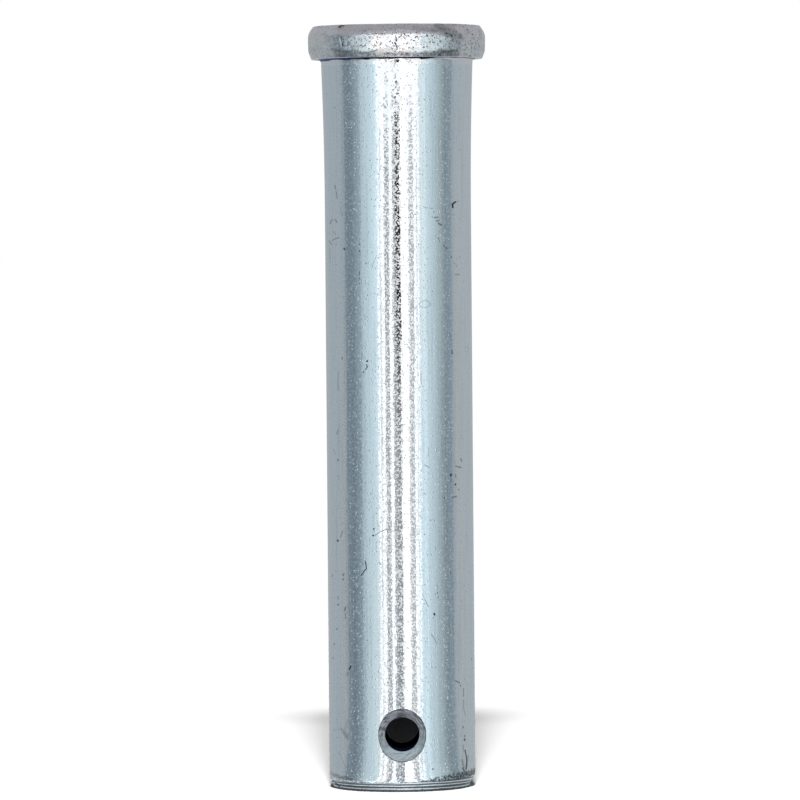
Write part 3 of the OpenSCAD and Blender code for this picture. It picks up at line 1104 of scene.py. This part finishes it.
def zinc_material(name, part, front=(), back=(), spots=()):
    """Bright zinc plate over drawn steel: frosted specks, drawn lines along the pin, soft tints, bumps
    and pits. part is the finish, front and back are the strokes that mark it, and spots its drops."""
    material, wiring = new_material(name)
    place = wiring.place()
    x, y, z = wiring.values("SeparateXYZ", {0: place}, "X", "Y", "Z")
    stretched = place * (1, 1, LINE_STRETCH)
    lines = stretched.noise(LINE_SIZE, detail=2)
    broad = stretched.noise(3 * MM, detail=1)
    inputs = {"Vector": place, "Scale": 1 / BUMP_SIZE}
    away, cell = wiring.values("TexVoronoi", inputs, "Distance", "Color")
    dots = away.fade(0.0, 0.28, 1.0, 0.0)
    kind = wiring.value("SeparateColor", {0: cell})
    bumps = dots * kind.apply("LESS_THAN", 0.7)
    pits = dots * kind.apply("GREATER_THAN", 0.95)

    height = lines * 0.25 + bumps * 2.4 - pits * 2.0
    tint = broad.fade(0.35, 0.65).mix(PLATE_BLUE, PLATE_PALE)
    tint = lines.fade(0.3, 0.5, 0.15, 0.0).mix(tint, LINE_GREY)
    tint = (pits * 0.8).mix(tint, PIT_GREY)
    dull = pits
    if part == HEAD:
        relief, low, high, specks, smears = head_surface(place, x, z)
        height = height + relief * 2.2
        tint = tint * HEAD_CAST
        # high and low are painted shade of the head's rounded edges; smears and specks are its own colour
        layers = ((high, HEAD_HIGH_SHADE), (low, HEAD_LOW_SHADE), (smears, SMEAR_BROWN), (specks, SPECK_GREY))
        for share, colour in layers:
            tint = share.mix(tint, colour)
        dull = dull.largest(low, high)
    if part == TIP:
        relief, dark = tip_surface(place, x, z)
        height = height + relief * 2.0
        tint = dark.mix(tint, TIP_GREY)
        dull = dull.largest(dark)
    if front or back or spots:
        marks = handling_marks(wiring, place, y, front, back, spots)
        if part in (HEAD, TIP):
            marks = side_marks(place, marks, part)
        height = height - marks
        tint = marks.mix(tint, MARK_GREY)
        dull = dull.largest(marks)
    if part == HEAD:
        # Painted shade in the corner under the head, blue at the left and navy from the middle to the
        # right
        neck_shade_share = neck_shade(place, x, z)
        navy = x.fade(-9.5 * MM, -5 * MM).mix(NECK_SHADE_BLUE, NECK_SHADE_NAVY)
        tint = neck_shade_share.mix(tint, navy)
        dull = dull.largest(neck_shade_share)

    bump = wiring.value("Bump", {"Strength": 1, "Distance": RELIEF, "Height": height})
    size, tilt = (HEAD_FACET_SIZE, HEAD_FACET_TILT) if part == HEAD else (FACET_SIZE, FACET_TILT)
    normal = facet_normal(wiring, place, bump, size, tilt)
    frost = place.noise(FROST_SIZE).fade(0.52, 0.55, CLEAR_ROUGH, FROST_ROUGH)
    rough = frost.largest(dull * DULL_ROUGH)
    wiring.end("BsdfPrincipled", {"Base Color": tint, "Metallic": 1, "Roughness": rough, "Normal": normal})
    return material


def mouth_material():
    """The dull machined countersinks: streaks that the tool left round the hole, bluer below it than
    above, which is painted reflection, and a dark ragged rim."""
    material, wiring = new_material("machined_mouth")
    place = wiring.place()
    away = ((place - (0, 0, HOLE_UP)) * (1, 0, 1)).measure("LENGTH")
    ring = wiring.value("CombineXYZ", {"X": away}) + place * (0.3, 0.3, 0.3)
    streaks = ring.noise(0.2 * MM, detail=2)
    z = wiring.value("SeparateXYZ", {0: place}, "Z")
    # Painted reflection: the halves below and above the hole get different colours
    upper_reflection = z.fade(HOLE_UP - 1.2 * MM, HOLE_UP + 1.5 * MM)
    ragged = (SHANK_R - place.from_axis()) / place.noise(0.5 * MM, detail=2)
    rim = ragged.fade(0.25 * MM, 0.5 * MM, 0.85, 0.0)

    bump = wiring.value("Bump", {"Strength": 1, "Distance": 0.02 * MM, "Height": streaks})
    light = upper_reflection.mix(*MOUTH_LIGHT)
    dark = upper_reflection.mix(*MOUTH_DARK)
    tint = streaks.fade(0.4, 0.56).mix(dark, light)
    tint = rim.mix(tint, RIM_GREY)
    wiring.end("BsdfPrincipled", {"Base Color": tint, "Metallic": 0.45, "Roughness": 0.45, "Normal": bump})
    return material


def bore_material():
    """The bore's wall, near black and without shine: painted shade inside the hole."""
    material, wiring = new_material("dark_bore")
    tint = wiring.place().noise(0.8 * MM, detail=3).mix(BORE_BLACK, BORE_NAVY)
    inputs = {"Base Color": tint, "Metallic": 0, "Roughness": 0.7, "Specular IOR Level": 0.0}
    wiring.end("BsdfPrincipled", inputs)
    return material


def within(strokes, low, high):
    """The strokes that reach between two heights."""
    near = []
    for stroke in strokes:
        heights = [end[2] for end in stroke[:2]]
        if min(heights) < high and max(heights) > low:
            near.append(stroke)
    return near


def make_pin(view):
    front, back = front_strokes(view), back_strokes()
    of_shank = within(front, TIP_PART, SHANK_L)
    spots = [(on_skin(view, x, y), half_x, half_y, dark) for x, y, half_x, half_y, dark in SPOTS]
    lines = [stroke[:2] for stroke in of_shank] + [(spot[0], spot[0]) for spot in spots]
    mesh = build_pin_mesh(view, lines, [stroke[:2] for stroke in back])
    materials = [
        zinc_material("zinc_plate", PLAIN),
        zinc_material("zinc_head", HEAD, within(front, SHANK_L - MM, OVERALL_L)),
        zinc_material("zinc_tip", TIP, within(front, 0, TIP_PART)),
        mouth_material(),
        bore_material(),
    ]
    for zone in range(ZONES):
        low, high = zone * ZONE - MM, (zone + 1) * ZONE + MM
        near_spots = [spot for spot in spots if low < spot[0][2] < high]
        strokes = within(of_shank, low, high), within(back, low, high)
        materials.append(zinc_material(f"zinc_marked_{zone}", MARKED, *strokes, near_spots))
    for material in materials:
        mesh.materials.append(material)
    pin = add_object("pin", mesh)
    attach(pin, "root")
    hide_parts(PIN)


bpy.context.scene.view_settings.view_transform = "Standard"
view = make_camera()
make_world()
make_floor()
make_key_lamp()
make_tent()
make_pin(view)
